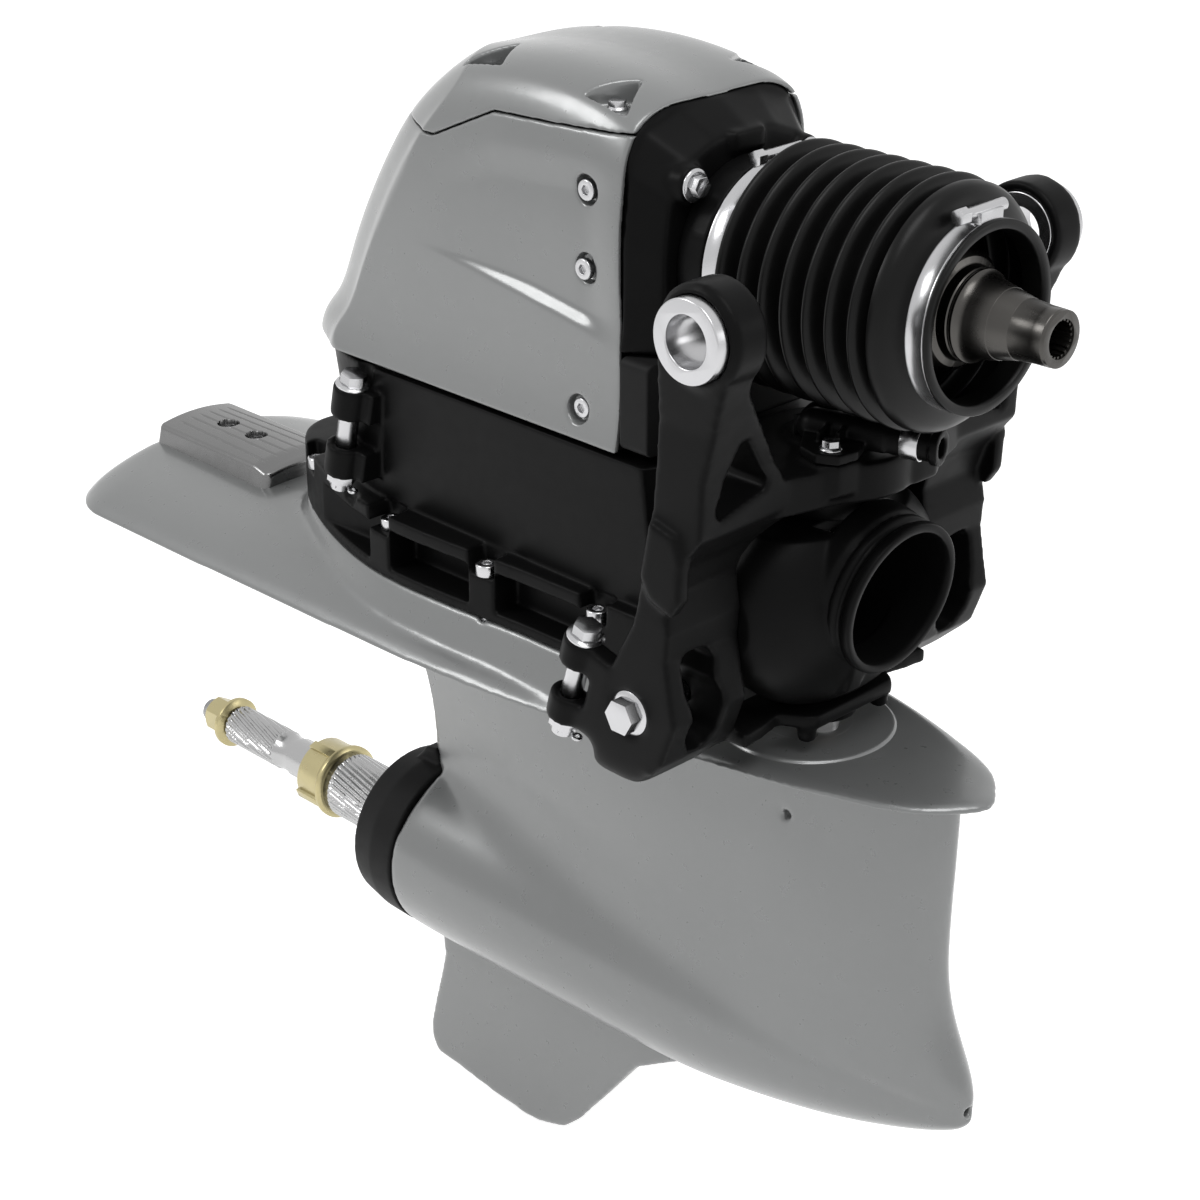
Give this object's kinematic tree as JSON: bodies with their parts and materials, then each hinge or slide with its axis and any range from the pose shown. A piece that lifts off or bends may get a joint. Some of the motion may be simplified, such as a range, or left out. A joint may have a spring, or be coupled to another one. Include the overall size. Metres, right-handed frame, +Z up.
{
  "type": "sterndrive",
  "caption": "Sterndrive with suspension fork, bellows, gear housings and counter-rotating propeller shafts",
  "frame": {"origin": "where the input shaft axis crosses the vertical plane of the tilt bores", "axes": "+X forward to the boat, +Y to port, +Z up"},
  "size_m": [0.9423, 0.3692, 0.9598],
  "materials": {
    "satin_black": "satin black paint on a casting",
    "silver_paint": "semi-gloss silver grey paint",
    "bright_steel": "bright stainless steel",
    "dark_steel": "dark oiled steel",
    "brass": "satin brass",
    "rubber": "smooth black rubber",
    "anode_metal": "as-cast bright alloy",
    "black_plastic": "matt black moulding",
    "machined_steel": "ground steel",
    "bearing_bronze": "bearing bronze"
  },
  "bodies": {
    "fork": {"suspension_fork": "satin_black", "tilt_bush_starboard": "bright_steel", "tilt_bush_port": "bright_steel", "exhaust_duct": "satin_black", "water_elbow": "satin_black", "water_elbow_bolts": "bright_steel", "water_hose_clamp": "bright_steel", "trim_pins": "bright_steel", "trim_pin_nuts": "bright_steel", "fork_steering_bolts": "bright_steel", "fork_steering_nuts": "bright_steel", "steering_bushes": "bearing_bronze"},
    "drive": {"upper_gear_housing": "satin_black", "input_bearing_housing": "satin_black", "front_bolts": "bright_steel", "top_cover": "silver_paint", "side_cover_starboard": "silver_paint", "side_cover_port": "silver_paint", "side_cover_screws": "bright_steel", "top_cover_bolts": "bright_steel", "shift_actuator": "black_plastic", "bellows": "rubber", "bellows_clamp_rear": "bright_steel", "bellows_clamp_front": "bright_steel", "intermediate_housing": "satin_black", "upper_pivot": "machined_steel", "lower_pivot": "machined_steel", "flange_screws": "bright_steel", "aft_steering_bolts": "bright_steel", "aft_steering_nuts": "bright_steel", "lower_gear_housing": "silver_paint", "anode": "anode_metal", "anode_screws": "bright_steel", "hub_ring": "black_plastic", "prop_bearing_housing": "satin_black", "shaft_seal": "rubber", "input_bearings": "machined_steel", "upper_gear_bearings": "machined_steel", "lower_gear_bearings": "machined_steel"},
    "input": {"input_shaft": "dark_steel", "input_pinion": "machined_steel"},
    "aft_cross": {"aft_cross": "machined_steel"},
    "centre_yoke": {"centre_yoke": "dark_steel"},
    "front_cross": {"front_cross": "machined_steel"},
    "sleeve": {"coupling_sleeve": "dark_steel"},
    "upper_gear": {"upper_gear": "machined_steel"},
    "lower_gear": {"lower_gear": "machined_steel"},
    "main_shaft": {"vertical_shaft": "machined_steel", "shaft_coupling": "machined_steel", "lower_shaft": "machined_steel", "lower_pinion": "machined_steel"},
    "clutch": {"cone_clutch": "bearing_bronze"},
    "shift": {"shift_shaft": "machined_steel", "shift_lever": "machined_steel"},
    "inner_shaft": {"inner_prop_shaft": "machined_steel", "front_crown_gear": "machined_steel", "inner_prop_nut": "brass"},
    "outer_shaft": {"outer_prop_shaft": "machined_steel", "rear_crown_gear": "machined_steel", "outer_prop_nut": "brass"}
  },
  "joints": [
    {"name": "steer", "type": "hinge", "parent": "fork", "child": "drive", "pos_m": [-0.036, 0, 0], "axis": [0, 0, 1], "range_deg": [-20, 20]},
    {"name": "input_spin", "type": "hinge", "parent": "drive", "child": "input", "pos_m": [0, 0, 0], "axis": [1, 0, 0], "continuous": true},
    {"name": "coupling_swing", "type": "hinge", "parent": "input", "child": "aft_cross", "pos_m": [-0.05, 0, 0], "axis": [0, 0, 1], "range_deg": [-5, 5]},
    {"name": "coupling_nod", "type": "hinge", "parent": "aft_cross", "child": "centre_yoke", "pos_m": [-0.05, 0, 0], "axis": [0, 1, 0], "range_deg": [-5, 5]},
    {"name": "sleeve_nod", "type": "hinge", "parent": "centre_yoke", "child": "front_cross", "pos_m": [0.014, 0, 0], "axis": [0, 1, 0], "range_deg": [-5, 5]},
    {"name": "sleeve_swing", "type": "hinge", "parent": "front_cross", "child": "sleeve", "pos_m": [0.014, 0, 0], "axis": [0, 0, 1], "range_deg": [-5, 5]},
    {"name": "upper_gear_spin", "type": "hinge", "parent": "drive", "child": "upper_gear", "pos_m": [-0.245, 0, 0], "axis": [0, 0, 1], "continuous": true},
    {"name": "lower_gear_spin", "type": "hinge", "parent": "drive", "child": "lower_gear", "pos_m": [-0.245, 0, 0], "axis": [0, 0, 1], "continuous": true},
    {"name": "shaft_spin", "type": "hinge", "parent": "drive", "child": "main_shaft", "pos_m": [-0.245, 0, 0], "axis": [0, 0, 1], "continuous": true},
    {"name": "inner_prop_spin", "type": "hinge", "parent": "drive", "child": "inner_shaft", "pos_m": [0, 0, -0.6], "axis": [1, 0, 0], "continuous": true},
    {"name": "outer_prop_spin", "type": "hinge", "parent": "drive", "child": "outer_shaft", "pos_m": [0, 0, -0.6], "axis": [1, 0, 0], "continuous": true},
    {"name": "shift_turn", "type": "hinge", "parent": "drive", "child": "shift", "pos_m": [-0.245, 0, 0], "axis": [0, 1, 0], "range_deg": [-30, 30]},
    {"name": "clutch_slide", "type": "slide", "parent": "main_shaft", "child": "clutch", "axis": [0, 0, 1], "range_m": [-0.005, 0.005]}
  ],
  "couplings": [
    {"joint": "sleeve_nod", "follows": "coupling_nod", "ratio": 1},
    {"joint": "sleeve_swing", "follows": "coupling_swing", "ratio": 1},
    {"joint": "upper_gear_spin", "follows": "input_spin", "ratio": -0.8},
    {"joint": "lower_gear_spin", "follows": "input_spin", "ratio": 0.8},
    {"joint": "inner_prop_spin", "follows": "shaft_spin", "ratio": -0.64286},
    {"joint": "outer_prop_spin", "follows": "shaft_spin", "ratio": 0.64286},
    {"joint": "shift_turn", "follows": "clutch_slide", "rad_per_m": -104.72}
  ]
}
